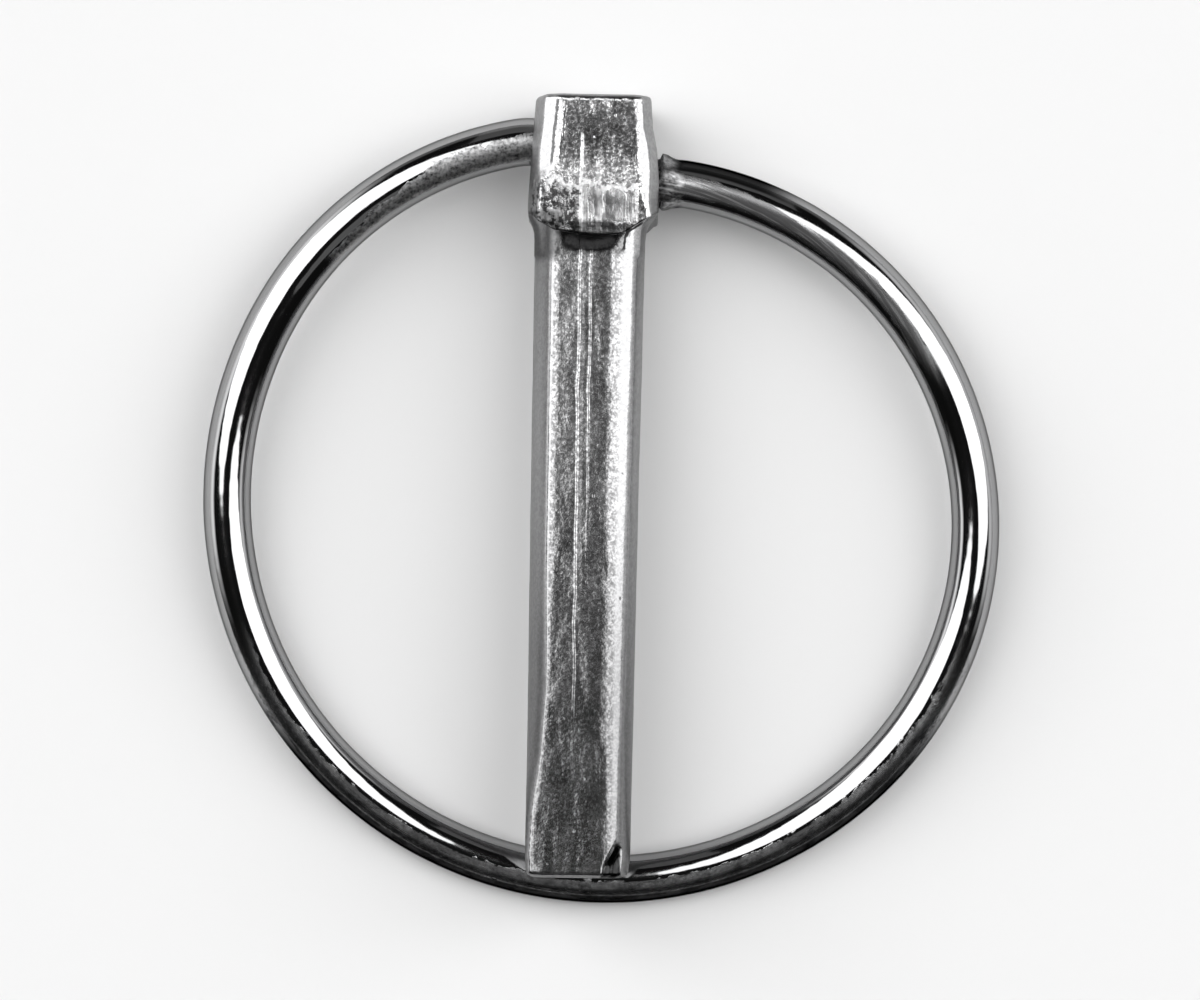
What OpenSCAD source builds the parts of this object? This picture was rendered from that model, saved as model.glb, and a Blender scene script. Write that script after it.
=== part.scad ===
// Linch pin with a sprung wire ring, for locking a bucket pin.
// Millimetres. It lies on its back: +Z up, +Y towards the head, +X to the right of the
// face that looks up. The pin's tip rests on the far side of the ring.

/* [Shank] */
// Diameter of the round bar
shank_d = 8; // [7:0.1:9]
// Length from the lowest point of the head's lip to the end of the bar
shank_len = 46.4; // [40:0.1:60]
// Length of the slight taper before the end
tip_taper_len = 1.25; // [0.6:0.05:3]
// Amount the taper takes off the diameter
tip_taper = 0.3; // [0.1:0.05:0.8]
// Length of the chamfer round the end
tip_chamfer_len = 0.5; // [0.2:0.05:1]
// Width of that chamfer
tip_chamfer = 0.65; // [0.3:0.05:1.2]
// Length of the four small flats pressed round the end
tip_flat_len = 2.4; // [1:0.1:4]
// Depth of those flats at the end of the bar
tip_flat_depth = 0.42; // [0.2:0.01:0.8]

/* [Head] */
// Height of the head above the line the ring turns on
head_above = 4.55; // [4.2:0.05:7]
// Depth of the head below that line, down to the middle of the lip
head_below = 5.35; // [5:0.05:8]
// Width across the side faces at the top
head_top_w = 8.2; // [8:0.1:11]
// Outward slope of the side faces towards the shank, degrees
head_draft = 5; // [2:0.5:7]
// Thickness from front to back at the crease, where it is greatest
head_thick = 9.7; // [9.6:0.1:12]
// Taper of the front and back faces above the crease, degrees
face_draft = 2.2; // [1:0.1:4]
// Distance of the crease below the ring's line
crease_drop = 1.8; // [1:0.1:2.5]
// Slope of the front and back faces below the crease, degrees
lip_slope = 3.2; // [1:0.1:5]
// How far the lip bows down between the corners of the head
lip_bow = 1.5; // [0.8:0.1:2]
// Length of the conical skirt under the lip
skirt_len = 1.55; // [1:0.05:2.5]
// How far the skirt stays behind the lip
skirt_inset = 0.1; // [0.05:0.01:0.3]
// Chamfer round the top of the head
head_edge = 0.4; // [0.2:0.05:0.8]
// Width of the flat front panel at the top
panel_w = 5.1; // [4:0.1:6]
// Flare of the panel's long edges, degrees
panel_flare = 10; // [6:0.5:14]
// Slope of the inner bevel beside the panel, degrees
bevel_in = 29; // [20:1:36]
// Slope of the outer bevel beside the side face, degrees
bevel_out = 50; // [42:1:60]
// Flat left on each side face beyond the pivot pocket
side_land = 0.2; // [0.1:0.05:0.5]

/* [Ring] */
// Diameter of the spring wire
wire_d = 3.5; // [3:0.1:3.8]
// Offset between the two wire ends, measured along the pin
end_offset = 2.86; // [2:0.02:2.9]
// Distance from the end of the pin to the middle of the wire that crosses it
ring_past_tip = 0.45; // [0:0.05:1]
// How much tighter than the mean radius the arc on the right is
right_tight = 0.9; // [0.4:0.05:1.4]
// How much tighter than the mean radius the shoulder on the left is
shoulder_tight = 1.4; // [0.8:0.05:2]
// Turn of the arc on the right, degrees
right_turn = 131; // [120:1:140]
// Turn of the opened arc on the left, degrees
left_turn = 162; // [152:1:170]
// Radius of the small bend that squares each wire end to the head
end_bend_r = 5; // [4:0.1:8]
// Turn of the small bend on the right, degrees
right_bend_turn = 9; // [6:0.5:12]
// Turn of the small bend on the left, degrees
left_bend_turn = 10.5; // [7:0.5:14]
// Straight wire between the left side of the head and its bend
left_straight = 0.15; // [0.05:0.05:1]
// Diameter of the rough flare round the wire on the right
flare_d = 4.1; // [3.9:0.1:4.6]
// Length of that flare
flare_len = 1.2; // [0.6:0.1:1.5]

/* [Pivot] */
// Running clearance round each wire end's collar, on the radius
pivot_clear = 0.06; // [0.03:0.01:0.1]
// Metal of the collar left outside the wire
collar_cover = 0.04; // [0.02:0.01:0.1]
// Metal left between the two pivot pockets
pivot_web = 2.6; // [2:0.1:4]
// Gap between the end of each collar and the floor of its pocket
collar_end_gap = 0.1; // [0.05:0.05:0.3]
// How far the collar's face lies inside the narrowest part of its side face
collar_recess = 0.05; // [0:0.05:0.3]
// Gap between the flare and the widest part of the side face
flare_gap = 0.1; // [0.05:0.05:0.3]
// Gap left between the pin's tip and the wire it rests on
rest_gap = 0.05; // [0.03:0.01:0.2]

/* [Hidden] */
$fn = 96;

shank_r = shank_d / 2;
wire_r = wire_d / 2;
pin_reach = head_below + shank_len;
tip_r = shank_r - tip_taper / 2;

// Head: half widths and half thicknesses at heights y above the ring's line
head_hw_top = head_top_w / 2;
function side_hw(y) = head_hw_top + (head_above - y) * tan(head_draft);
head_ht = head_thick / 2;
top_ht = head_ht - (head_above + crease_drop) * tan(face_draft);
lip_ht = head_ht - (head_below - crease_drop) * tan(lip_slope);
corner_y = lip_bow - head_below;
corner_hw = side_hw(corner_y);
lip_r = (corner_hw * corner_hw + lip_bow * lip_bow) / (2 * lip_bow);

// Pivot: a collar on each wire end turns in a blind pocket centred on the ring's line
collar_r = end_offset / 2 + wire_r + collar_cover;
pocket_r = collar_r + pivot_clear;
pocket_floor = pivot_web / 2;
collar_in = pocket_floor + collar_end_gap;
collar_out = side_hw(pocket_r) - collar_recess;
side_flat = pocket_r + side_land;

// Ring: five tangent arcs from the right end to the left one. A heading is in degrees,
// clockwise from +X. The arc on the left is opened until the ends lie end_offset apart.
ring_r = (pin_reach + ring_past_tip) / 2;
head_a = [0, right_bend_turn, right_bend_turn + right_turn,
          right_bend_turn + right_turn + left_turn, 360 - left_bend_turn, 360];
arc_0 = [end_bend_r, ring_r - right_tight, 0, ring_r - shoulder_tight, end_bend_r];
function drop(i) = cos(head_a[i + 1]) - cos(head_a[i]);
function sum(v, i = 0) = i < len(v) ? v[i] + sum(v, i + 1) : 0;
left_r = (end_offset - sum([for (i = [0:4]) arc_0[i] * drop(i)])) / drop(2);
arc_r = [for (i = [0:4]) i == 2 ? left_r : arc_0[i]];
left_end = side_hw(end_offset / 2) + left_straight;
right_end = -left_end - sum([for (i = [0:4]) arc_r[i] * (sin(head_a[i + 1]) - sin(head_a[i]))]);
function arc_at(i, a) = arc_r[i] * [sin(a) - sin(head_a[i]), cos(a) - cos(head_a[i])];
function arc_start(i) = i == 0 ? [right_end, -end_offset / 2]
                               : arc_start(i - 1) + arc_at(i - 1, head_a[i]);
ring_low = arc_start(2) + arc_at(2, 180);
ring_right = arc_start(1) + arc_at(1, 90);
ring_left = arc_start(2) + arc_at(2, 270);
ring_reach = -ring_low[1];
lap = 0.1;
lap_step = 0.01;

// Rest: first the angle between pin and ring at which the tip lies on the wire, then the
// tilt of the pin at which the head and the far side of the ring both touch the ground
under = [[-head_below, -shank_r], [-(pin_reach - tip_chamfer_len - tip_taper_len), -shank_r],
         [-(pin_reach - tip_chamfer_len), -tip_r], [-pin_reach, -(tip_r - tip_chamfer)]];
function to_seg(p, a, b) =
    let (d = b - a, t = max(0, min(1, (p - a) * d / (d * d)))) norm(p - a - t * d);
function wire_gap(g) = let (p = -ring_reach * [cos(g), sin(g)])
    min([for (i = [0:2]) to_seg(p, under[i], under[i + 1])]) - wire_r;
function solve_shut(lo, hi, n) = let (m = (lo + hi) / 2)
    n == 0 ? m : wire_gap(m) < rest_gap ? solve_shut(m, hi, n - 1) : solve_shut(lo, m, n - 1);
shut_angle = solve_shut(3, 20, 40);
rim = [[head_above, top_ht - head_edge], [head_above - head_edge, top_ht],
       [-crease_drop, head_ht], [-head_below, lip_ht]];
function hinge_z(a) = max([for (p = rim) p[1] * cos(a) + p[0] * sin(a)]);
function solve_tilt(lo, hi, n) = let (m = (lo + hi) / 2)
    n == 0 ? m : hinge_z(m) - wire_r < ring_reach * sin(shut_angle - m)
        ? solve_tilt(m, hi, n - 1) : solve_tilt(lo, m, n - 1);
pin_tilt = solve_tilt(0, shut_angle, 40);
ring_tilt = shut_angle - pin_tilt;
line_z = hinge_z(pin_tilt);
y_top = max([for (p = rim) p[0] * cos(pin_tilt) + p[1] * sin(pin_tilt)]);
y_end = -ring_reach * cos(ring_tilt) - wire_r;
mid = [(ring_right[0] + ring_left[0]) / 2, (y_top + y_end) / 2];

module lay(tilt) translate([-mid[0], -mid[1], line_z]) rotate([tilt, 0, 0]) children();

// Outline of the head from the front: sloping sides and a lip that bows down
module head_front() intersection() {
    polygon([[-side_hw(-head_below), -head_below], [side_hw(-head_below), -head_below],
             [side_hw(head_above - head_edge), head_above - head_edge],
             [head_hw_top - head_edge, head_above], [-(head_hw_top - head_edge), head_above],
             [-side_hw(head_above - head_edge), head_above - head_edge]]);
    translate([0, lip_r - head_below]) circle(r = lip_r);
}

// Outline of the head from the side: z across, y up
module head_side() polygon(concat([for (p = rim) [p[1], p[0]]],
                                  [for (i = [3:-1:0]) [-rim[i][1], rim[i][0]]]));

// Plane that takes off a front edge, from a point at the top of the head
module bevel(x, z, flare, slope)
    translate([x, head_above, z]) rotate([0, 0, flare]) rotate([0, slope, 0])
        translate([-6, -20, 0]) cube([14, 26, 8]);

module head() difference() {
    intersection() {
        translate([0, 0, -head_thick]) linear_extrude(height = 2 * head_thick) head_front();
        rotate([0, -90, 0]) translate([0, 0, -2 * head_top_w])
            linear_extrude(height = 4 * head_top_w) head_side();
    }
    for (sx = [0, 1], sz = [0, 1]) mirror([sx, 0, 0]) mirror([0, 0, sz]) {
        bevel(panel_w / 2, top_ht, panel_flare, bevel_in);
        bevel(head_hw_top, side_flat, head_draft, bevel_out);
    }
}

// Round bar with its skirt, taper and end chamfer, turned from one profile
module bar() {
    taper_y = pin_reach - tip_chamfer_len - tip_taper_len;
    rotate([90, 0, 0]) rotate_extrude() polygon([
        [0, head_below - skirt_len], [lip_ht - skirt_inset, head_below - skirt_len],
        [shank_r, head_below], [shank_r, taper_y], [tip_r, pin_reach - tip_chamfer_len],
        [tip_r - tip_chamfer, pin_reach], [0, pin_reach]]);
}

// Four pressed flats, each falling from the bar's surface to tip_flat_depth at the end
module tip_flats() for (k = [45:90:315]) rotate([0, k, 0])
    translate([0, -pin_reach, shank_r - tip_flat_depth])
        rotate([atan(tip_flat_depth / tip_flat_len), 0, 0])
            translate([-shank_r, -shank_r, 0])
                cube([shank_d, shank_r + 1.1 * tip_flat_len, shank_r]);

module pockets() for (s = [0, 1]) mirror([s, 0, 0]) rotate([0, 90, 0])
    translate([0, 0, pocket_floor]) cylinder(h = head_top_w, r = pocket_r);

module pin() color([0.52, 0.52, 0.53]) lay(-pin_tilt) difference() {
    union() { head(); bar(); }
    pockets();
    tip_flats();
}

// Wire end from its collar to the first bend, on the right
module right_stub() translate([0, -end_offset / 2, 0]) rotate([0, 90, 0]) {
    translate([0, 0, collar_in]) cylinder(h = right_end - collar_in, r = wire_r);
    translate([0, 0, side_hw(-end_offset / 2 - flare_d / 2) + flare_gap])
        cylinder(h = flare_len, r1 = flare_d / 2, r2 = wire_r + lap_step);
}

module left_stub() translate([-left_end, end_offset / 2, 0]) rotate([0, 90, 0])
    cylinder(h = left_end - collar_in, r = wire_r);

module collars() for (s = [0, 1]) mirror([s, 0, 0]) rotate([0, 90, 0])
    translate([0, 0, collar_in]) cylinder(h = collar_out - collar_in, r = collar_r);

// One tangent arc of the ring, swept about its own centre. Every second arc is thinner by
// lap_step and runs lap further into its neighbours, so that all of them join as one wire.
module arc(i) {
    thin = (i + 1) % 2;
    more = thin * lap / arc_r[i] * 180 / PI;
    translate(arc_start(i) - arc_r[i] * [sin(head_a[i]), cos(head_a[i])])
        rotate([0, 0, 90 - head_a[i + 1] - more])
            rotate_extrude(angle = head_a[i + 1] - head_a[i] + 2 * more)
                translate([arc_r[i], 0]) circle(d = wire_d - thin * lap_step);
}

module ring() color([0.74, 0.74, 0.75]) lay(ring_tilt) union() {
    collars();
    right_stub();
    left_stub();
    for (i = [0:4]) arc(i);
}

pin();
ring();
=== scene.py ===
import math
import bpy
import bmesh
from mathutils import Matrix, Vector, noise


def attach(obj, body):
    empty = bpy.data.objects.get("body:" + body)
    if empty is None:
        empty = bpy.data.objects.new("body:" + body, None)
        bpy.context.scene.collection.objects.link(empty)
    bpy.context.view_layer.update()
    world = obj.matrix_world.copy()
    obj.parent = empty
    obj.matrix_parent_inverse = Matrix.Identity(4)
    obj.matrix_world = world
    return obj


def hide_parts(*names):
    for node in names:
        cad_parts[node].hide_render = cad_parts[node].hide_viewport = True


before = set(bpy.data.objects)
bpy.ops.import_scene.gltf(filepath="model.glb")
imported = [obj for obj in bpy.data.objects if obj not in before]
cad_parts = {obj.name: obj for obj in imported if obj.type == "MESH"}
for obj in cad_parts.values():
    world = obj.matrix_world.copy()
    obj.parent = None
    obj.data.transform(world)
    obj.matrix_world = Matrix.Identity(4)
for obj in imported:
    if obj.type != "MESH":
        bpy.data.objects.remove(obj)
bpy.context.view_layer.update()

# Both pieces are written in mm about the ring's hinge line: u to the right, v towards the head's
# top, w to the front. Each is then turned about u by its tilt and moved to PIVOT.
MM = 0.001
PIVOT = Vector((-1.13181, 24.5345, 4.79982)) * MM
PIN_TILT = math.radians(-2.7494)
RING_TILT = math.radians(3.35237)


# ---------------------------------------------------------------- helpers
def clamp(x, lo=0.0, hi=1.0):
    return max(lo, min(hi, x))


def ease(t):
    return t * t * (3 - 2 * t)


def smooth(a, b, x):
    return ease(clamp((x - a) / (b - a)))


def lerp(a, b, t):
    return a + (b - a) * t


def straight(points, x, bend=None):
    """Value at x of the broken line through (x, value) points, each stretch eased by bend."""
    if x <= points[0][0]:
        return points[0][1]
    for (x0, y0), (x1, y1) in zip(points, points[1:]):
        if x <= x1:
            t = (x - x0) / (x1 - x0)
            return lerp(y0, y1, bend(t) if bend else t)
    return points[-1][1]


def curve(points, x):
    """The same line with level, rounded joints."""
    return straight(points, x, ease)


def wobble(x, y, z, size, seed=0.0):
    return noise.noise(Vector((x / size + seed, y / size - seed * 1.7, z / size + seed * 0.3)))


def place(tilt):
    return Matrix.Translation(PIVOT) @ Matrix.Rotation(tilt, 4, "X")


def link(name, data):
    obj = bpy.data.objects.new(name, data)
    bpy.context.scene.collection.objects.link(obj)
    return obj


def placed(name, verts, faces, tilt):
    """Smooth mesh of points given in mm about the hinge line, in its place."""
    mesh = bpy.data.meshes.new(name)
    m = place(tilt)
    mesh.from_pydata([m @ (Vector(v) * MM) for v in verts], [], faces)
    mesh.update()
    for p in mesh.polygons:
        p.use_smooth = True
    return link(name, mesh)


def stack(rows):
    """Quads between closed rows of points, and a fan to a centre point at both ends."""
    verts, faces = [], []
    n = len(rows[0])
    for row in rows:
        verts += row
    for i in range(len(rows) - 1):
        for j in range(n):
            k = (j + 1) % n
            faces.append((i * n + j, i * n + k, (i + 1) * n + k, (i + 1) * n + j))
    for i, flip in ((0, True), (len(rows) - 1, False)):
        verts.append([sum(p[k] for p in rows[i]) / n for k in range(3)])
        m = len(verts) - 1
        for j in range(n):
            k = (j + 1) % n
            faces.append((m, i * n + k, i * n + j) if flip else (m, i * n + j, i * n + k))
    return verts, faces


# ---------------------------------------------------------------- camera
cam_data = bpy.data.cameras.new("camera")
cam_data.lens = 200
cam_data.sensor_width = 36
cam_data.clip_start = 0.01
cam = link("camera", cam_data)
cam.location = (-0.11 * MM, 0.105 * MM, 487.9 * MM)
cam.rotation_euler = (0, 0, math.radians(0.907))
bpy.context.scene.camera = cam


# ---------------------------------------------------------------- pin
AROUND = 256            # points round the pin
BAR_R = 4.0             # round back of the bar
FRONT = 3.5             # pressed front of the bar, from its axis
TOP = 4.545             # top of the head
LIP_ROUND = 0.12        # rounding of the lip's edge
LIP_STEP = 0.02         # how far under the lip the skirt starts
SKIRT_END = -6.9        # where the skirt has become the bar
SLIM_FROM = -6          # where the bar starts to narrow and lean
TIP_FROM = -48.2        # where the tip's finer rows start
TIP = -51.6             # rim of the tip
TIP_TRIM = 0.12         # how much narrower the tip is at its sides
TIP_ROUND = (0.22, 0.45)    # rounding of the rim in front, and at the sides and behind
POCKET_R = 3.28
POCKET_DEPTH = 6
POCKET_AT = 4.3         # middle of the pocket's cutter

# Half width of the skirt and the head, right (1) and left (-1): (height, half width)
SIDE = {
    1: [(-5.8, 4.01), (-4.93, 4.10), (-4.64, 4.20), (-4.35, 4.38), (-4.06, 4.60), (-3.84, 4.74),
        (-3.62, 4.85), (-3.33, 4.93), (-1.0, 4.90), (0.7, 4.74), (2.2, 4.43), (4.55, 4.28)],
    -1: [(-5.8, 4.02), (-5.22, 4.05), (-4.93, 4.12), (-4.64, 4.24), (-4.35, 4.37), (-4.06, 4.48),
         (-3.62, 4.52), (-0.87, 4.38), (2.2, 4.21), (3.91, 4.10), (4.55, 4.02)],
}

# Lean of the bar's front in degrees, at some heights along the bar: (distance across, lean)
RIGHT = {
    -7: [(0, 0), (1.0, 0.5), (1.6, 3.5), (2.1, 9), (3.1, 32), (3.5, 52), (3.9, 74), (4.0, 86)],
    -40: [(0, 0), (1.3, 0.5), (1.9, 3.5), (2.3, 9), (3.0, 34), (3.45, 52), (3.9, 74), (4.0, 86)],
    -50: [(0, 0), (1.7, 0.5), (2.2, 3), (2.5, 10), (3.0, 36), (3.45, 52), (3.9, 74), (4.0, 86)],
}
LEFT = {
    -7: [(0, 0), (2.1, 0.5), (2.42, 4), (2.80, 36), (2.96, 51), (3.85, 74), (4.0, 86)],
    -30: [(0, 0), (2.1, 0.5), (2.44, 4), (2.80, 36), (2.96, 51), (3.85, 74), (4.0, 86)],
    -38: [(0, 0), (2.2, 0.5), (2.5, 2.5), (2.64, 40), (2.9, 52), (3.85, 74), (4.0, 86)],
    -43: [(0, 0), (2.4, 0.3), (2.85, 1.0), (2.97, 42), (3.15, 54), (3.85, 74), (4.0, 86)],
    -47: [(0, 0), (2.6, 0.3), (3.15, 1), (3.38, 2), (3.55, 36), (3.9, 70), (4.0, 86)],
    -50: [(0, 0), (2.8, 0.3), (3.3, 1), (3.52, 2), (3.75, 34), (3.95, 70), (4.0, 86)],
}


def leans(places, v):
    """The (distance, lean) pairs at height v, between those given for the places near it."""
    keys = sorted(places)
    v = clamp(v, keys[0], keys[-1])
    for k0, k1 in zip(keys, keys[1:]):
        if v <= k1:
            t = (v - k0) / (k1 - k0)
            return [(lerp(a[0], b[0], t), lerp(a[1], b[1], t))
                    for a, b in zip(places[k0], places[k1])]
    return places[keys[-1]]


def half_section(side, v):
    """(angle from the front, radius) pairs of one half of the bar's front."""
    pts = leans(RIGHT if side > 0 else LEFT, v)
    n = 80
    step, low = BAR_R / n, 0.6
    out, w = [(0.0, FRONT)], FRONT
    for i in range(1, n + 1):
        u = BAR_R * i / n
        w -= step * math.tan(math.radians(straight(pts, u - step / 2)))
        if w < low:
            break
        out.append((math.atan2(u, w), math.hypot(u, w)))
    return out


SECTIONS = {}


def bar_r(theta, v):
    """Radius of the bar: pressed flat in front, round behind."""
    th = math.atan2(math.sin(theta), math.cos(theta))
    side = 1 if th >= 0 else -1
    key = (side, round(v * 2) / 2)
    if key not in SECTIONS:
        SECTIONS[key] = half_section(side, key[1])
    half = SECTIONS[key]
    last, last_r = half[-1]
    a = abs(th)
    if a <= last:
        return straight(half, a)
    if a > math.pi / 2:
        return BAR_R
    return min(BAR_R / max(math.sin(a), 1e-6), lerp(last_r, BAR_R, smooth(last, 1.75, a)))


def slim(v):
    """Width of the bar towards the tip, as a share of its full width."""
    return straight([(-51, 0.945), (-46, 0.95), (-25, 0.975), (-6, 1.0)], v)


def lean_u(v):
    """Shift of the bar to the left towards the tip."""
    return straight([(-51, -0.18), (-46, -0.16), (-25, -0.10), (-6, 0.0)], v)


def face_w(v):
    """Distance of the head's front from the axis."""
    return curve([(-5.5, 4.58), (-4.4, 4.72), (-2.4, 4.85), (-1.3, 4.80), (4.15, 4.606),
                  (4.55, 4.59)], v)


# The head's bevels, right (1) and left (-1). The inner one slopes and flares from inner_u across
# at the top, the outer one slopes from outer_at (across, front) and spreads downwards, and both
# stand out by their fade under the heights in fade_from. The side keeps its width below side_end.
BEVELS = {
    1: {"side_end": -3.3, "fade_from": (-3.2, -4.6), "flare": 9, "inner": 25, "inner_u": 2.97,
        "inner_fade": 0.5, "outer": 56, "outer_at": (3.67, 4.29), "spread": 0.015},
    -1: {"side_end": -3.9, "fade_from": (-0.6, -2.6), "flare": 10, "inner": 24, "inner_u": 2.42,
         "inner_fade": 0.42, "outer": 47, "outer_at": (3.31, 4.25), "spread": 0.075},
}
INNER_W = 4.606         # distance of the inner bevel's edge from the axis, at the top
OUTER_FADE = 0.10
FACE_TURN = math.radians(1.5)
TOP_ROUND = 0.42
SHARP = 170             # how sharply the head's planes meet
HEAD_SIZE = 5.0         # brings the planes' distances near 1 before they are raised to SHARP
# Steep facet outside the left bevels, from just over the collar and from lower above it
FACET_SLOPE = [(0.5, 60), (3.3, 72)]
FACET_FOOT = [(0.5, 3.36), (3.3, 2.3)]


def head_r(theta, v):
    """Radius of the forged head by angle and height: planes met with a small rounding."""
    s, c = math.sin(theta), abs(math.cos(theta))
    turn = FACE_TURN if math.cos(theta) >= 0 else 0.0
    planes = [(math.sin(turn), math.cos(turn), face_w(v) * math.cos(turn))]
    for side in (1, -1):
        b = BEVELS[side]
        half = straight(SIDE[side], max(v, b["side_end"]))
        planes.append((side, 0.0, half))
        fade = smooth(*b["fade_from"], v)
        flare, slope = math.radians(b["flare"]), math.radians(b["inner"])
        nu = math.sin(slope) * math.cos(flare)
        nv = math.sin(slope) * math.sin(flare)
        nw = math.cos(slope)
        d = nu * b["inner_u"] + nv * (TOP - v) + nw * INNER_W + fade * b["inner_fade"]
        planes.append((side * nu, nw, d))
        slope = math.radians(b["outer"])
        outer_u, outer_w = b["outer_at"]
        grow = half - straight(SIDE[side], TOP)
        grow += (TOP - v) * b["spread"]
        d = math.sin(slope) * (outer_u + grow) + math.cos(slope) * outer_w + fade * OUTER_FADE
        planes.append((side * math.sin(slope), math.cos(slope), d))
        if side < 0:
            slope = math.radians(curve(FACET_SLOPE, v))
            d = math.sin(slope) * half + math.cos(slope) * curve(FACET_FOOT, v)
            planes.append((-math.sin(slope), math.cos(slope), d + fade * OUTER_FADE))
    total = 0.0
    for nu, nw, d in planes:
        k = nu * s + nw * c
        if k > 1e-3:
            total += (d / k / HEAD_SIZE) ** -SHARP
    r = HEAD_SIZE * total ** (-1 / SHARP)
    t = TOP - v
    if t < TOP_ROUND:
        r -= TOP_ROUND - math.sqrt(max(0.0, TOP_ROUND * TOP_ROUND - (TOP_ROUND - t) ** 2))
    return r


# Height of the lip's edge: (distance across, height) in front, and where it ends at the sides
LIP = [(-5.2, -4.0), (-4.3, -4.0), (-3.46, -4.3), (-2.45, -5.3), (-1.2, -5.45), (0.2, -5.6),
       (1.3, -5.62), (2.2, -5.5), (2.6, -5.25), (3.3, -4.4), (4.3, -3.7), (5.2, -3.4)]
LIP_END = {1: -3.4, -1: -4.0}
LIP_WIDE = 4.9          # half width that stands for the head's where the lip is measured


def lip_v(theta):
    """Height of the lip's edge. Behind it runs the other way round."""
    u = LIP_WIDE * math.sin(theta)
    if math.cos(theta) < 0:
        u = -u * 0.95
    end = LIP_END[1 if math.sin(theta) > 0 else -1]
    return lerp(end, straight(LIP, u), smooth(0.12, 0.4, abs(math.cos(theta))))


def skirt_r(theta, v):
    """Below the lip: wide and flush at the sides, set well in under the lip in front and behind."""
    side = 1 if math.sin(theta) >= 0 else -1
    b = bar_r(theta, v)
    at_side = straight(SIDE[side], v) / max(abs(math.sin(theta)), 0.5)
    under = lerp(max(b, 4.3), b, smooth(-4.6, -6.8, v))
    return max(b, lerp(min(at_side, 4.95), under, smooth(0.25, 0.7, abs(math.cos(theta)))))


def dents(u, v, w):
    """Forging unevenness of the pin, mostly inwards."""
    return (0.028 * wobble(u, v * 0.5, w, 1.6, 3.1) + 0.010 * wobble(u, v * 0.4, w, 0.6, 7.7)
            - 0.02)


def dent_at(theta, r, v):
    return dents(r * math.sin(theta), v, r * math.cos(theta))


# Marks pressed into the tip, one in front and two behind: (degrees round, half width, depth)
MARKS = ((44, 0.07, 0.6), (140, 0.2, 0.42), (220, 0.2, 0.42))


def tip_press(theta, v):
    """Depth of the marks, deepest at the end. The front one turns inwards by 6 degrees."""
    if v > -47.0:
        return 0.0
    d = 0.0
    for k, wide, deep in MARKS:
        a = math.radians(k - (6 * smooth(-49, -51.5, v) if k < 90 else 0))
        off = abs(math.atan2(math.sin(theta - a), math.cos(theta - a)))
        reach = wide * smooth(-48.6, -51.2, v) + 0.01
        d = max(d, deep * smooth(-48.9, -51.0, v) * (1 - smooth(reach, reach + 0.10, off)))
    return d


def sideways(theta):
    return smooth(0.6, 0.9, abs(math.sin(theta)))


def tip_round(theta):
    return lerp(*TIP_ROUND, sideways(theta) if math.cos(theta) > 0 else 1)


def over(theta):
    """How far the lip stands out over the skirt."""
    v = lip_v(theta)
    return max(0.0, head_r(theta, v) - skirt_r(theta, v))


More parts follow.
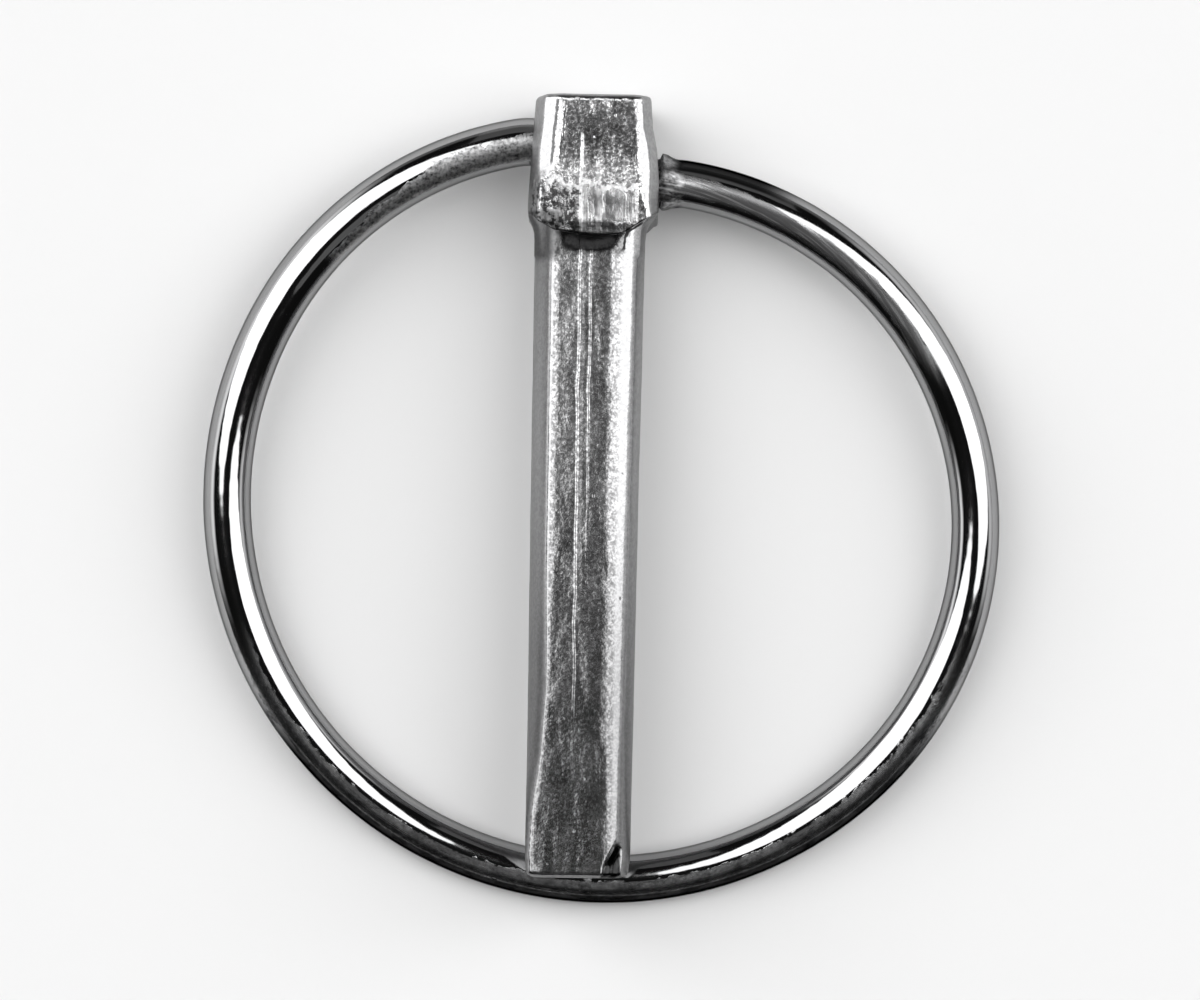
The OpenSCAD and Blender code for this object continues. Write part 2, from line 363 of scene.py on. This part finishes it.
def pin_rows():
    """Rows of points from the top of the head to the tip. Each f gives radius and height."""
    rows = []

    def row(f):
        pts = []
        for j in range(AROUND):
            th = 2 * math.pi * j / AROUND
            r, v = f(th)
            k, shift = (slim(v), lean_u(v)) if v < SLIM_FROM else (1.0, 0.0)
            pts.append((r * math.sin(th) * k + shift, v, r * math.cos(th)))
        rows.append(pts)

    # Top
    for k in (0.12, 0.3, 0.5, 0.68, 0.82, 0.92, 0.98):
        row(lambda th: (head_r(th, TOP) * k, TOP))
    # Head
    steps = 84
    for i in range(steps + 1):
        t = (i / steps) ** 1.15

        def f(th):
            v = lerp(TOP, lip_v(th) + LIP_ROUND, t)
            r = head_r(th, v)
            return r + dent_at(th, r, v) * smooth(TOP, TOP - 0.5, v), v
        row(f)
    # Rounding of the lip
    for i in range(1, 7):
        a = math.radians(i * 15)

        def f(th):
            v = lip_v(th) + LIP_ROUND
            r = head_r(th, v)
            r += dent_at(th, r, v)
            return (r - min(LIP_ROUND, over(th)) * (1 - math.cos(a)),
                    v - LIP_ROUND * math.sin(a))
        row(f)
    # Underside of the lip, from its edge in to the skirt
    for i in range(1, 6):
        t = i / 5

        def f(th):
            v = lip_v(th)
            r = head_r(th, v + LIP_ROUND) - min(LIP_ROUND, over(th))
            r += dent_at(th, r, v)
            inner = min(skirt_r(th, v - 0.03), r)
            rise = min(0.06, over(th) * 0.2) * math.sin(math.pi * t)
            return lerp(r, inner, t), v + rise - LIP_STEP * t
        row(f)
    # Skirt
    for i in range(1, 17):
        t = i / 16

        def f(th):
            edge = lip_v(th)
            v = lerp(edge - LIP_STEP, SKIRT_END, t)
            r = min(skirt_r(th, v), head_r(th, edge + LIP_ROUND))
            return r + 0.6 * dent_at(th, r, v) * smooth(0, 0.3, t), v
        row(f)
    # Bar
    n = 170
    for i in range(1, n + 1):
        v = lerp(SKIRT_END, TIP_FROM, i / n)

        def f(th):
            r = bar_r(th, v)
            return r + 0.6 * dent_at(th, r, v) - tip_press(th, v), v
        row(f)
    # Tip
    n = 40
    for i in range(1, n + 1):
        v = lerp(TIP_FROM, TIP, i / n)

        def f(th):
            r = bar_r(th, v) - TIP_TRIM * smooth(-50.0, -51.3, v) * sideways(th)
            r += 0.6 * dent_at(th, r, v) - tip_press(th, v)
            e = tip_round(th)
            q = clamp((TIP + e - v) / e, 0, 1)
            return r - e * (1 - math.sqrt(max(0.0, 1 - q * q))), v
        row(f)
    # End face, a little domed
    for k, dv in ((0.97, -0.07), (0.92, -0.11), (0.82, -0.13), (0.64, -0.14), (0.42, -0.15),
                  (0.2, -0.15)):
        def f(th):
            r = bar_r(th, TIP) - TIP_TRIM * sideways(th) - tip_round(th) - tip_press(th, TIP)
            return r * k, TIP + dv
        row(f)
    return rows


pin = placed("pin_forging", *stack(pin_rows()), PIN_TILT)

# Blind pockets in which the ring's ends turn
cutters = []
for side in (1, -1):
    bm = bmesh.new()
    bmesh.ops.create_cone(bm, cap_ends=True, segments=144, radius1=POCKET_R * MM,
                          radius2=POCKET_R * MM, depth=POCKET_DEPTH * MM,
                          matrix=Matrix.Rotation(math.pi / 2, 4, "Y"))
    mesh = bpy.data.meshes.new("cut")
    bm.to_mesh(mesh)
    bm.free()
    cut = link("cut", mesh)
    cut.matrix_world = place(PIN_TILT) @ Matrix.Translation((side * POCKET_AT * MM, 0, 0))
    cutters.append(cut)
    mod = pin.modifiers.new("pocket", "BOOLEAN")
    mod.operation = "DIFFERENCE"
    mod.solver = "EXACT"
    mod.object = cut
bpy.context.view_layer.update()
deps = bpy.context.evaluated_depsgraph_get()
cut_mesh = bpy.data.meshes.new_from_object(pin.evaluated_get(deps))
pin.modifiers.clear()
pin.data = cut_mesh
for cut in cutters:
    bpy.data.objects.remove(cut)


# ---------------------------------------------------------------- ring
WIRE_AROUND = 72
WIRE_R = 1.75
WIRE_STEP = 0.19                        # distance between rows along the arcs
TURNS = [0, 9, 140, 302, 349.5, 360]    # degrees turned at the ends of the five arcs
ARC_R = [5, 25.2, 27.6509, 24.7, 5]
RIGHT_END, LEFT_END = 6.3049, 4.52296   # where the straight ends meet the arcs
OFFSET = 1.43                           # of each end from the hinge line
COLLAR_R = 3.22
COLLAR_IN = 1.4                         # inner end of the collars and of the wire
SWELL_FROM, SWELL_TO = 4.96, 6.6        # swelling of the wire, clear of the head's side


def ring_path():
    """(point, outward direction, distance) along the wire from its right end to its left one."""
    out = []
    n = 26
    for i in range(n):
        t = i / n
        out.append(((lerp(COLLAR_IN, RIGHT_END, t), -OFFSET), (0.0, 1.0),
                    t * (RIGHT_END - COLLAR_IN)))
    s = RIGHT_END - COLLAR_IN
    x, y = RIGHT_END, -OFFSET
    for d0, d1, r in zip(TURNS, TURNS[1:], ARC_R):
        a0, a1 = math.radians(d0), math.radians(d1)
        n = max(4, int(r * (a1 - a0) / WIRE_STEP))
        for k in range(n):
            a = lerp(a0, a1, k / n)
            at = (x + r * (math.sin(a) - math.sin(a0)), y + r * (math.cos(a) - math.cos(a0)))
            out.append((at, (math.sin(a), math.cos(a)), s + r * (a - a0)))
        x, y = x + r * (math.sin(a1) - math.sin(a0)), y + r * (math.cos(a1) - math.cos(a0))
        s += r * (a1 - a0)
    n = 16
    for i in range(n + 1):
        t = i / n
        out.append(((lerp(-LEFT_END, -COLLAR_IN, t), OFFSET), (0.0, 1.0),
                    s + t * (LEFT_END - COLLAR_IN)))
    return out


def wire_rows():
    """Rows round the wire, with fine waves and the lumpy swelling beside the head."""
    rows = []
    for (x, y), (nx, ny), s in ring_path():
        def point(r):
            return x + nx * r * math.cos(a), y + ny * r * math.cos(a), r * math.sin(a)

        pts = []
        for j in range(WIRE_AROUND):
            a = 2 * math.pi * j / WIRE_AROUND
            r = WIRE_R
            p = point(r)
            if x > SWELL_FROM and y > -3 and s < 8:
                k = 1 - smooth(4.9, SWELL_TO, x + 0.3 * wobble(*p, 1.2, 8.0))
                k *= smooth(SWELL_FROM, SWELL_FROM + 0.12, x)
                above = 0.26 * max(0.0, math.cos(a))
                r += k * (0.28 + above + 0.16 * wobble(*p, 0.9, 2.2) + 0.05 * wobble(*p, 0.35, 5.0))
            r += 0.006 * wobble(*p, 3.0, 9.0) + 0.003 * wobble(*p, 0.8, 4.0) - 0.012
            pts.append(point(r))
        rows.append(pts)
    return rows


def collar(side):
    """Turned end of the wire, whose outer face follows the side of the head at rest."""
    n = 144
    roll = RING_TILT - PIN_TILT

    def round_points(k):
        turns = [2 * math.pi * j / n for j in range(n)]
        return [(COLLAR_R * k * math.sin(a), COLLAR_R * k * math.cos(a)) for a in turns]

    def outer(y, z):
        return straight(SIDE[side], y * math.cos(roll) - z * math.sin(roll)) - 0.03

    rows = []
    for k, x in ((0.97, COLLAR_IN), (1.0, 1.45)):
        rows.append([(side * x, y, z) for y, z in round_points(k)])
    for k, inset in ((1.0, 0.10), (0.985, 0.03), (0.95, 0.0), (0.8, 0.0), (0.6, 0.0), (0.4, 0.0),
                     (0.2, 0.0)):
        rows.append([(side * (outer(y, z) - inset), y, z) for y, z in round_points(k)])
    return stack(rows if side < 0 else [r[::-1] for r in rows])


verts, faces = stack(wire_rows())
for side in (1, -1):
    collar_verts, collar_faces = collar(side)
    k = len(verts)
    verts += collar_verts
    faces += [tuple(i + k for i in f) for f in collar_faces]
ring = placed("ring_wire", verts, faces, RING_TILT)


# ---------------------------------------------------------------- materials
class Graph:
    """Writes a procedural metal as nodes, in mm about the hinge line."""

    TINT = (1.0, 1.0, 1.01)

    def __init__(self, name, tilt):
        self.mat = bpy.data.materials.new(name)
        self.mat.use_nodes = True
        self.nt = self.mat.node_tree
        self.bsdf = self.nt.nodes["Principled BSDF"]
        self.bsdf.inputs["Metallic"].default_value = 1.0
        self.tex = self.nt.nodes.new("ShaderNodeTexCoord")
        m = self.nt.nodes.new("ShaderNodeMapping")
        m.vector_type = "TEXTURE"
        m.inputs["Location"].default_value = PIVOT
        m.inputs["Rotation"].default_value = (tilt, 0, 0)
        m.inputs["Scale"].default_value = (MM, MM, MM)
        self.nt.links.new(self.tex.outputs["Object"], m.inputs["Vector"])
        self.co = m.outputs["Vector"]
        self.u, self.v, self.w = self.split(self.co)

    def split(self, vector):
        n = self.nt.nodes.new("ShaderNodeSeparateXYZ")
        self.nt.links.new(vector, n.inputs[0])
        return n.outputs

    def facing(self):
        """The three parts of the surface's own direction."""
        return self.split(self.tex.outputs["Normal"])

    def put(self, socket, value):
        if isinstance(value, (int, float)):
            socket.default_value = value
        else:
            self.nt.links.new(value, socket)

    def math(self, op, a, b=None, c=None, clamp=False):
        n = self.nt.nodes.new("ShaderNodeMath")
        n.operation = op
        n.use_clamp = clamp
        for i, x in enumerate((a, b, c)):
            if x is not None:
                self.put(n.inputs[i], x)
        return n.outputs[0]

    def mul(self, *xs):
        out = xs[0]
        for x in xs[1:]:
            out = self.math("MULTIPLY", out, x)
        return out

    def add(self, *xs):
        out = xs[0]
        for x in xs[1:]:
            out = self.math("ADD", out, x)
        return out

    def sub(self, a, b):
        return self.math("SUBTRACT", a, b)

    def line(self, x, gain, start):
        """start + gain * x."""
        return self.math("MULTIPLY_ADD", x, gain, start)

    def other(self, x):
        return self.sub(1.0, x)

    def ramp(self, x, a, b, lo=0.0, hi=1.0):
        """Smooth step of x from a to b, giving lo to hi."""
        n = self.nt.nodes.new("ShaderNodeMapRange")
        n.interpolation_type = "SMOOTHSTEP"
        if a > b:
            a, b, lo, hi = b, a, hi, lo
        for i, y in enumerate((x, a, b, lo, hi)):
            self.put(n.inputs[i], y)
        return n.outputs[0]

    def fade(self, mask, to):
        """Factor that is 1 outside the mask and to inside it."""
        return self.ramp(mask, 0, 1, 1.0, to)

    def band(self, x, a, b, soft):
        """1 between a and b, falling to 0 over soft outside them."""
        return self.mul(self.ramp(x, a - soft, a), self.ramp(x, b + soft, b))

    def stretch(self, x, y, z, shift=0.0, co=None):
        n = self.nt.nodes.new("ShaderNodeVectorMath")
        n.operation = "MULTIPLY_ADD"
        self.nt.links.new(co or self.co, n.inputs[0])
        n.inputs[1].default_value = (x, y, z)
        n.inputs[2].default_value = (shift, shift * 0.7, -shift)
        return n.outputs[0]

    def noise(self, co, scale=1.0, detail=2.0, rough=0.5, warp=0.0):
        n = self.nt.nodes.new("ShaderNodeTexNoise")
        self.nt.links.new(co, n.inputs["Vector"])
        n.inputs["Scale"].default_value = scale
        n.inputs["Detail"].default_value = detail
        n.inputs["Roughness"].default_value = rough
        n.inputs["Distortion"].default_value = warp
        return n.outputs["Fac"]

    def cells(self, co, scale):
        n = self.nt.nodes.new("ShaderNodeTexVoronoi")
        self.nt.links.new(co, n.inputs["Vector"])
        n.inputs["Scale"].default_value = scale
        return n.outputs["Distance"]

    def bump(self, height, mm, normal=None):
        n = self.nt.nodes.new("ShaderNodeBump")
        n.inputs["Distance"].default_value = mm * MM
        self.put(n.inputs["Height"], height)
        if normal is not None:
            self.nt.links.new(normal, n.inputs["Normal"])
        return n.outputs["Normal"]

    def finish(self, grey, rough, normal, edge):
        self.bsdf.inputs["Specular Tint"].default_value = (edge, edge, edge, 1)
        n = self.nt.nodes.new("ShaderNodeCombineColor")
        for i, t in enumerate(self.TINT):
            self.put(n.inputs[i], self.mul(grey, t))
        self.nt.links.new(n.outputs[0], self.bsdf.inputs["Base Color"])
        self.put(self.bsdf.inputs["Roughness"], rough)
        self.nt.links.new(normal, self.bsdf.inputs["Normal"])
        return self.mat


def pin_metal():
    g = Graph("forged_steel", PIN_TILT)
    u, v, w = g.u, g.v, g.w
    grain = g.noise(g.stretch(1, 0.9, 1), 3.4, 2.0, 0.6)
    fine = g.noise(g.stretch(1, 0.85, 1, 9.0), 7.0, 1.0, 0.5)
    drawn = g.noise(g.stretch(3.0, 0.12, 3.0, 3.0), 1.0, 2.0, 0.6)
    broad = g.noise(g.stretch(1, 0.45, 1, 2.0), 0.75, 2.0, 0.5)
    patch = g.noise(g.stretch(1, 0.7, 1, 6.0), 1.9, 3.0, 0.62)
    clump = g.noise(g.stretch(1, 0.9, 1, 12.0), 2.3, 3.0, 0.65)
    strokes = g.noise(g.stretch(1.5, 0.28, 0.5, 3.0), 0.9, 3.0, 0.55)
    pits = g.mul(g.ramp(g.cells(g.stretch(1, 0.7, 1, 4.0), 1.1), 0.03, 0.13, 1.0, 0.0),
                 g.ramp(patch, 0.5, 0.6))
    speck = g.ramp(g.add(g.mul(grain, 0.65), g.mul(fine, 0.35)), 0.40, 0.60)
    torn = g.line(patch, 2.0, -1.0)
    grit = g.ramp(g.noise(g.stretch(1, 1, 1, 21.0), 4.6, 1.5, 0.5), 0.44, 0.56)

    # Drawn strips and fine ridges down the front of the head and the bar
    wander = g.line(g.noise(g.stretch(0.05, 0.2, 0.05), 1.0, 2.0), 0.4, -0.2)
    across = g.add(u, wander)
    front = g.ramp(w, 1.5, 3.0)
    strip = g.mul(g.band(across, -0.72, -0.35, 0.16), front, g.ramp(v, -40.0, -24.0),
                  g.ramp(v, 1.2, 0.0))
    strip2 = g.mul(g.band(across, 0.5, 0.7, 0.16), front, g.ramp(v, 1.4, 0.2),
                   g.ramp(v, -6.0, -4.6))
    ridge = g.mul(g.band(across, -0.70, -0.66, 0.10), front, g.ramp(v, -44.0, -30.0),
                  g.ramp(v, 1.8, 0.6))
    ridge2 = g.mul(g.band(across, 0.10, 0.13, 0.10), front, g.ramp(v, -34.0, -16.0),
                   g.ramp(v, -5.0, -6.0), 0.5)
    ridge = g.add(ridge, ridge2)

    # Head: a torn line across it, raised and given a painted highlight, stretched metal below that,
    # a rough strip along the lip
    face = g.mul(g.ramp(w, 3.6, 4.3), g.ramp(u, 3.5, 3.1))
    course = g.line(g.noise(g.stretch(0.7, 0.1, 0.1, 5.0), 1.0, 3.0, 0.6), -2.4, -0.85)
    off = g.sub(v, course)
    near = g.line(g.math("ABSOLUTE", off), -3.0, 1.0)
    seam = g.mul(g.ramp(g.add(near, g.line(clump, 4.0, -2.0)), 0.25, 0.75), face,
                 g.ramp(near, -0.6, 0.2), g.ramp(u, -3.4, -2.8))
    under = g.mul(g.ramp(g.add(off, g.mul(torn, 0.8)), 0.1, -0.4), face)
    rough_left = g.mul(under, g.ramp(g.add(u, torn), -0.4, -1.2))
    lip = g.mul(g.ramp(g.add(v, g.mul(torn, 0.6)), -4.5, -4.8), face)
    above = g.mul(g.ramp(g.add(v, g.mul(torn, 2.0)), 0.4, -1.6), face, g.other(under))

    # Head: grooves beside the left bevel with painted shade in them, and painted highlight lines: a
    # rim beside the left bevel, a rim along the top, and a scar
    edge = g.line(v, 0.073, -2.78)
    side = g.add(g.sub(u, edge), g.mul(torn, 0.16))
    groove2 = g.mul(g.band(side, 0.60, 0.66, 0.07), g.ramp(v, 1.2, 2.0))
    # Painted shade: the grooves' colour is darkened as well as bumped in
    shaded_groove = g.mul(g.add(g.band(side, -0.06, 0.06, 0.07), groove2), front,
                   g.ramp(v, -1.0, -0.2), g.ramp(v, 4.3, 3.9))
    rim = g.mul(g.band(side, 0.22, 0.44, 0.07), front, g.ramp(v, -1.2, -0.2),
                g.ramp(v, 4.1, 3.7), g.ramp(clump, 0.36, 0.48))
    top_rim = g.mul(g.band(g.add(v, g.mul(torn, 0.2)), 4.12, 4.2, 0.07), face,
                    g.band(u, -2.3, 2.6, 0.3), g.ramp(clump, 0.4, 0.5))
    rim = g.add(rim, top_rim)
    scar_highlight = g.mul(g.band(g.add(across, g.mul(torn, 0.05)), -0.74, -0.60, 0.07),
                 g.ramp(v, -4.1, -3.5), g.ramp(v, 2.0, 1.3), g.ramp(clump, 0.38, 0.46), face)
    painted_highlights = g.math("ADD", g.add(seam, scar_highlight), rim, clamp=True)

    # Skirt: painted shade in the recess under the lip, a dull patch on the left, and on the right a
    # painted shadow line under the lip's edge with a black crack running down from it
    lip_shade = g.mul(g.ramp(v, -5.1, -5.5), g.ramp(v, -7.2, -6.6), g.band(u, -2.1, 2.3, 0.5),
                   g.ramp(w, 1.0, 2.0))
    dull = g.mul(g.ramp(v, -7.9, -6.7), g.ramp(v, -3.7, -4.2), g.ramp(u, -1.9, -2.4),
                 g.ramp(w, 0.5, 1.5))
    under_lip = g.sub(v, g.line(u, 0.715, -7.10))
    # Painted shadow of the lip along its edge on the right, and below it a dark crack running down
    lip_shadow_and_crack = g.mul(g.band(under_lip, -0.20, -0.06, 0.05), g.ramp(u, 2.5, 2.8),
                 g.ramp(u, 4.0, 3.6))
    tear_u = g.sub(g.add(u, g.mul(torn, 0.25)), g.line(v, 0.25, 4.02))
    tear_down = g.mul(g.band(tear_u, -0.09, 0.07, 0.05), g.ramp(v, -6.9, -6.4),
                      g.ramp(v, -4.9, -5.2))
    lip_shadow_and_crack = g.mul(g.math("ADD", lip_shadow_and_crack, tear_down, clamp=True), g.ramp(w, 1.0, 2.0))

    # Tip: colour darker towards the tip as painted shade, and painted shade in the front mark
    tip_shade = g.ramp(v, -14.0, -46.0)
    down = g.sub(-49.3, v)
    # Painted shade in the front mark
    mark_shade = g.mul(g.ramp(g.add(u, g.mul(down, 0.5)), 2.5, 2.7),
                 g.ramp(g.add(u, g.mul(down, -0.12)), 2.75, 2.6),
                 g.ramp(down, -0.2, 0.3), g.ramp(w, 1.0, 2.0))

    # Colour: painted shade by facing, dark and gritty where the surface is level, clearer and
    # lighter where it slopes
    level = g.math("ABSOLUTE", g.facing()[2])
    flat = g.ramp(level, 0.94, 0.99)
    dark = g.add(g.line(broad, 0.10, 0.13), g.mul(speck, g.ramp(v, -50.0, -30.0, 0.13, 0.21)),
                 g.ramp(v, -50.0, -30.0, 0.04, 0.0))
    dark = g.add(dark, g.mul(strip, 0.05), g.mul(strip2, 0.04), g.mul(above, 0.05))
    dark = g.mul(dark, g.ramp(v, -6.5, -3.5, 0.95, 1.75),
                 g.ramp(grit, 0, 1, g.ramp(v, -6.5, -3.5, 0.84, 0.52), 1.12))
    clear = g.line(speck, 0.08, 0.31)
    grey = g.add(g.mul(dark, flat), g.mul(clear, g.other(flat)))
    drawn_out = g.line(g.ramp(g.add(g.mul(strokes, 0.55), g.mul(clump, 0.45)), 0.40, 0.60),
                       0.36, 0.18)
    grey = g.add(g.mul(grey, g.other(g.mul(under, flat))), g.mul(drawn_out, g.mul(under, flat)))
    grey = g.mul(grey, g.fade(g.mul(rough_left, g.ramp(clump, 0.52, 0.44)), 0.25),
                 g.fade(lip, 0.5), g.fade(shaded_groove, 0.25), g.fade(tip_shade, 0.62),
                 g.fade(lip_shade, 0.5), g.fade(pits, 0.4), g.fade(mark_shade, 0.12),
                 g.fade(dull, 0.4), g.fade(lip_shadow_and_crack, 0.08))
    # Painted highlights: light colour along the seam, the rims and the scar
    grey = g.add(g.mul(grey, g.other(painted_highlights)), g.mul(painted_highlights, g.line(speck, 0.25, 0.62)))

    rough = g.line(broad, 0.10, 0.11)
    rough = g.add(rough, g.ramp(level, 0.80, 0.55, 0.0, 0.16))
    rough = g.add(rough, g.mul(strip, 0.05), g.mul(strip2, 0.06),
                  g.mul(g.math("ADD", under, above, clamp=True), 0.08), g.mul(pits, 0.2),
                  g.mul(painted_highlights, 0.25), g.mul(dull, 0.2))

    lumps = g.add(rough_left, g.mul(lip, 0.7), g.mul(above, 0.2), g.mul(seam, 0.5))
    n = g.bump(broad, 0.02)
    n = g.bump(drawn, 0.002, n)
    n = g.bump(g.mul(strokes, under), 0.055, n)
    n = g.bump(g.mul(clump, lumps), 0.05, n)
    n = g.bump(g.add(ridge, g.mul(shaded_groove, -1.8), rim, seam), 0.014, n)
    n = g.bump(grain, 0.006, n)
    n = g.bump(fine, 0.003, n)
    n = g.bump(g.mul(pits, -1.0), 0.02, n)
    return g.finish(grey, rough, n, 0.7)


RING_CENTRE = (0.84, -25.2)     # of the circle nearest the whole ring


def ring_metal():
    g = Graph("spring_wire", RING_TILT)
    # clock: degrees round the ring from the head, positive to the right
    # outward: how far the surface faces away from the ring's middle, 1 to -1
    x = g.sub(g.u, RING_CENTRE[0])
    y = g.math("ADD", g.v, -RING_CENTRE[1])
    clock = g.math("MULTIPLY", g.math("ARCTAN2", x, y), 180 / math.pi)
    turn = g.math("ABSOLUTE", clock)
    radius = g.math("SQRT", g.add(g.mul(x, x), g.mul(y, y)))
    facing = g.facing()
    outward = g.math("DIVIDE", g.add(g.mul(facing[0], x), g.mul(facing[1], y)), radius)
    polar = g.nt.nodes.new("ShaderNodeCombineXYZ")
    g.put(polar.inputs[0], g.mul(clock, 0.47))
    g.put(polar.inputs[1], radius)
    g.put(polar.inputs[2], g.w)
    flow = polar.outputs[0]
    blot = g.noise(g.stretch(0.5, 1.0, 1.0, 2.0, flow), 1.3, 3.0, 0.65, 0.3)
    drawn = g.noise(g.stretch(0.06, 3.0, 3.0, 1.0, flow), 1.3, 2.0, 0.5)
    streak = g.ramp(g.noise(g.stretch(0.10, 2.2, 2.2, 6.0, flow), 1.3, 3.0, 0.6), 0.46, 0.64)
    grain = g.noise(g.stretch(1, 1, 1, 7.0), 4.0, 2.0, 0.6)
    mottle = g.sub(grain, 0.5)
    wave = g.noise(g.stretch(0.3, 1, 1, 4.0), 0.4, 1.0, 0.5)

    # Matte scale on the tip's side, at the left end and on the swelling
    side = g.add(outward, g.line(blot, 0.9, -0.45))
    tip_side = g.mul(g.ramp(turn, 104.0, 122.0), g.band(side, 0.13, 0.72, 0.10))
    reach = g.ramp(clock, -44.0, -16.0, -0.45, 0.22)
    left = g.mul(g.band(clock, -46.0, -5.0, 3.0), g.ramp(g.sub(side, reach), 0.05, -0.05),
                 g.ramp(outward, -0.85, -0.7))
    stub = g.mul(g.band(g.v, -4.0, 1.2, 0.1), g.ramp(g.u, 6.9, 6.2), g.ramp(g.u, 3.0, 4.0))
    matte = g.math("MULTIPLY", g.add(tip_side, left, stub), 1.0, clamp=True)

    # Streaked zone along the right arc, wider beside the head
    strayed = g.add(outward, g.line(blot, 0.4, -0.2))
    zone_top = g.ramp(clock, 10.0, 40.0, 0.36, 0.02)
    right = g.mul(g.band(clock, 8.0, 62.0, 10.0), g.ramp(strayed, -0.66, -0.54),
                  g.ramp(g.sub(strayed, zone_top), 0.06, -0.04))

    # Painted shade: near-black colour on the outer side, at the tip's end and beside the head
    tip_rim_shade = g.mul(g.ramp(turn, 112.0, 135.0), g.ramp(outward, 0.60, 0.72))
    head_side_shade = g.mul(g.ramp(clock, 10.5, 13.0), g.ramp(clock, 36.0, 24.0),
                       g.ramp(outward, 0.42, 0.55))
    scale = g.math("ADD", tip_rim_shade, head_side_shade, clamp=True)

    grey = g.add(0.36, g.mul(g.sub(drawn, 0.5), 0.10), g.mul(matte, g.mul(mottle, 0.5)),
                 g.mul(matte, g.line(blot, 0.7, -0.43)), g.mul(right, g.line(streak, 0.40, -0.10)),
                 g.mul(left, g.line(mottle, 0.6, 0.08)))
    # The painted shade from the mask above darkens the colour to near black
    grey = g.mul(g.math("MAXIMUM", grey, 0.03), g.fade(scale, 0.08))
    rough = g.add(0.05, g.mul(drawn, 0.04), g.mul(matte, 0.20), g.mul(left, 0.14),
                  g.mul(right, 0.19), g.mul(scale, 0.1))
    n = g.bump(wave, 0.02)
    n = g.bump(drawn, 0.003, n)
    n = g.bump(g.mul(grain, g.ramp(matte, 0, 1, 0.03, 1.0)), 0.008, n)
    return g.finish(grey, rough, n, 0.3)


for obj, mat in ((pin, pin_metal()), (ring, ring_metal())):
    obj.data.materials.clear()
    obj.data.materials.append(mat)
    for p in obj.data.polygons:
        p.material_index = 0

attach(pin, "pin")
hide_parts("pin")
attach(ring, "ring")
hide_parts("ring")


# ---------------------------------------------------------------- stage and light
FLOOR_SIZE = 4.0
FLOOR_GREY = 0.885
LAMP_AWAY = 1.2


def floor():
    bm = bmesh.new()
    bmesh.ops.create_grid(bm, x_segments=8, y_segments=8, size=FLOOR_SIZE)
    mesh = bpy.data.meshes.new("floor")
    bm.to_mesh(mesh)
    bm.free()
    obj = link("floor", mesh)
    mat = bpy.data.materials.new("floor")
    mat.use_nodes = True
    b = mat.node_tree.nodes["Principled BSDF"]
    b.inputs["Base Color"].default_value = (FLOOR_GREY, FLOOR_GREY, FLOOR_GREY, 1)
    b.inputs["Roughness"].default_value = 0.9
    b.inputs["Specular IOR Level"].default_value = 0.0
    obj.data.materials.append(mat)


floor()


def panel(name, az, normal, width, low, high, light, shape="ELLIPSE"):
    """Soft box of width times its distance, in a plane whose foot lies at azimuth az (clockwise
    from +Y) and angle normal from the zenith. It shows from angle high to angle low off the
    zenith."""
    a, n = math.radians(az), math.radians(normal)
    out = Vector((math.sin(a) * math.sin(n), math.cos(a) * math.sin(n), math.cos(n)))
    up = Vector((-math.sin(a) * math.cos(n), -math.cos(a) * math.cos(n), math.sin(n)))
    across = Vector((math.cos(a), -math.sin(a), 0))
    t0, t1 = math.tan(n - math.radians(low)), math.tan(n - math.radians(high))
    data = bpy.data.lights.new(name, "AREA")
    data.shape = shape
    data.size = width * LAMP_AWAY
    data.size_y = (t1 - t0) * LAMP_AWAY
    filled = math.pi / 4 if shape == "ELLIPSE" else 1
    data.energy = light * math.pi * data.size * data.size_y * filled
    m = Matrix((across, up, out)).transposed().to_4x4()
    m.translation = out * LAMP_AWAY + up * LAMP_AWAY * (t0 + t1) / 2
    link(name, data).matrix_world = m


panel("softbox_right", 75, 75, 1.04, 70, 7, 3.1)
panel("softbox_left", 299, 75, 1.16, 71, 5, 3.1)
panel("fill_tip", 180, 40, 1.0, 50, 14, 0.2)
panel("fill_head", 5, 75, 0.8, 88, 45, 0.15, shape="RECTANGLE")

# The room: dark above and on the tip's side, pale low down at both sides and behind the head
world = bpy.data.worlds.new("world")
bpy.context.scene.world = world
world.use_nodes = True
room = world.node_tree
sky = room.nodes["Background"]
way = room.nodes.new("ShaderNodeTexCoord")
xyz = room.nodes.new("ShaderNodeSeparateXYZ")
room.links.new(way.outputs["Generated"], xyz.inputs[0])
east, north, zenith = xyz.outputs


def fall(x, a, b, lo=0.0, hi=1.0):
    n = room.nodes.new("ShaderNodeMapRange")
    n.interpolation_type = "SMOOTHSTEP"
    room.links.new(x, n.inputs[0])
    for i, y in enumerate((a, b, lo, hi)):
        n.inputs[i + 1].default_value = y
    return n.outputs[0]


def join(op, a, b):
    n = room.nodes.new("ShaderNodeMath")
    n.operation = op
    for i, x in enumerate((a, b)):
        if isinstance(x, float):
            n.inputs[i].default_value = x
        else:
            room.links.new(x, n.inputs[i])
    return n.outputs[0]


sides = join("MULTIPLY", fall(join("ABSOLUTE", east, 0.0), 0.50, 0.75), fall(north, -0.40, -0.12))
low_band = join("MULTIPLY", fall(zenith, 0.0, 0.30, 0.65, 1.2), fall(zenith, 0.32, 0.50, 1.0, 0.0))
sides = join("MULTIPLY", sides, low_band)
sides = join("MULTIPLY", sides, fall(east, -0.2, 0.2, 1.5, 1.0))
behind = join("MULTIPLY", fall(north, 0.2, 0.7), fall(zenith, 0.10, 0.35, 0.25, 0.0))
level = fall(zenith, 0.0, 0.05, 0.35, 0.0)
glow = join("MAXIMUM", join("MAXIMUM", sides, behind), join("MAXIMUM", level, 0.01))
room.links.new(glow, sky.inputs["Strength"])
sky.inputs["Color"].default_value = (1, 1, 1, 1)

bpy.context.scene.view_settings.view_transform = "Standard"
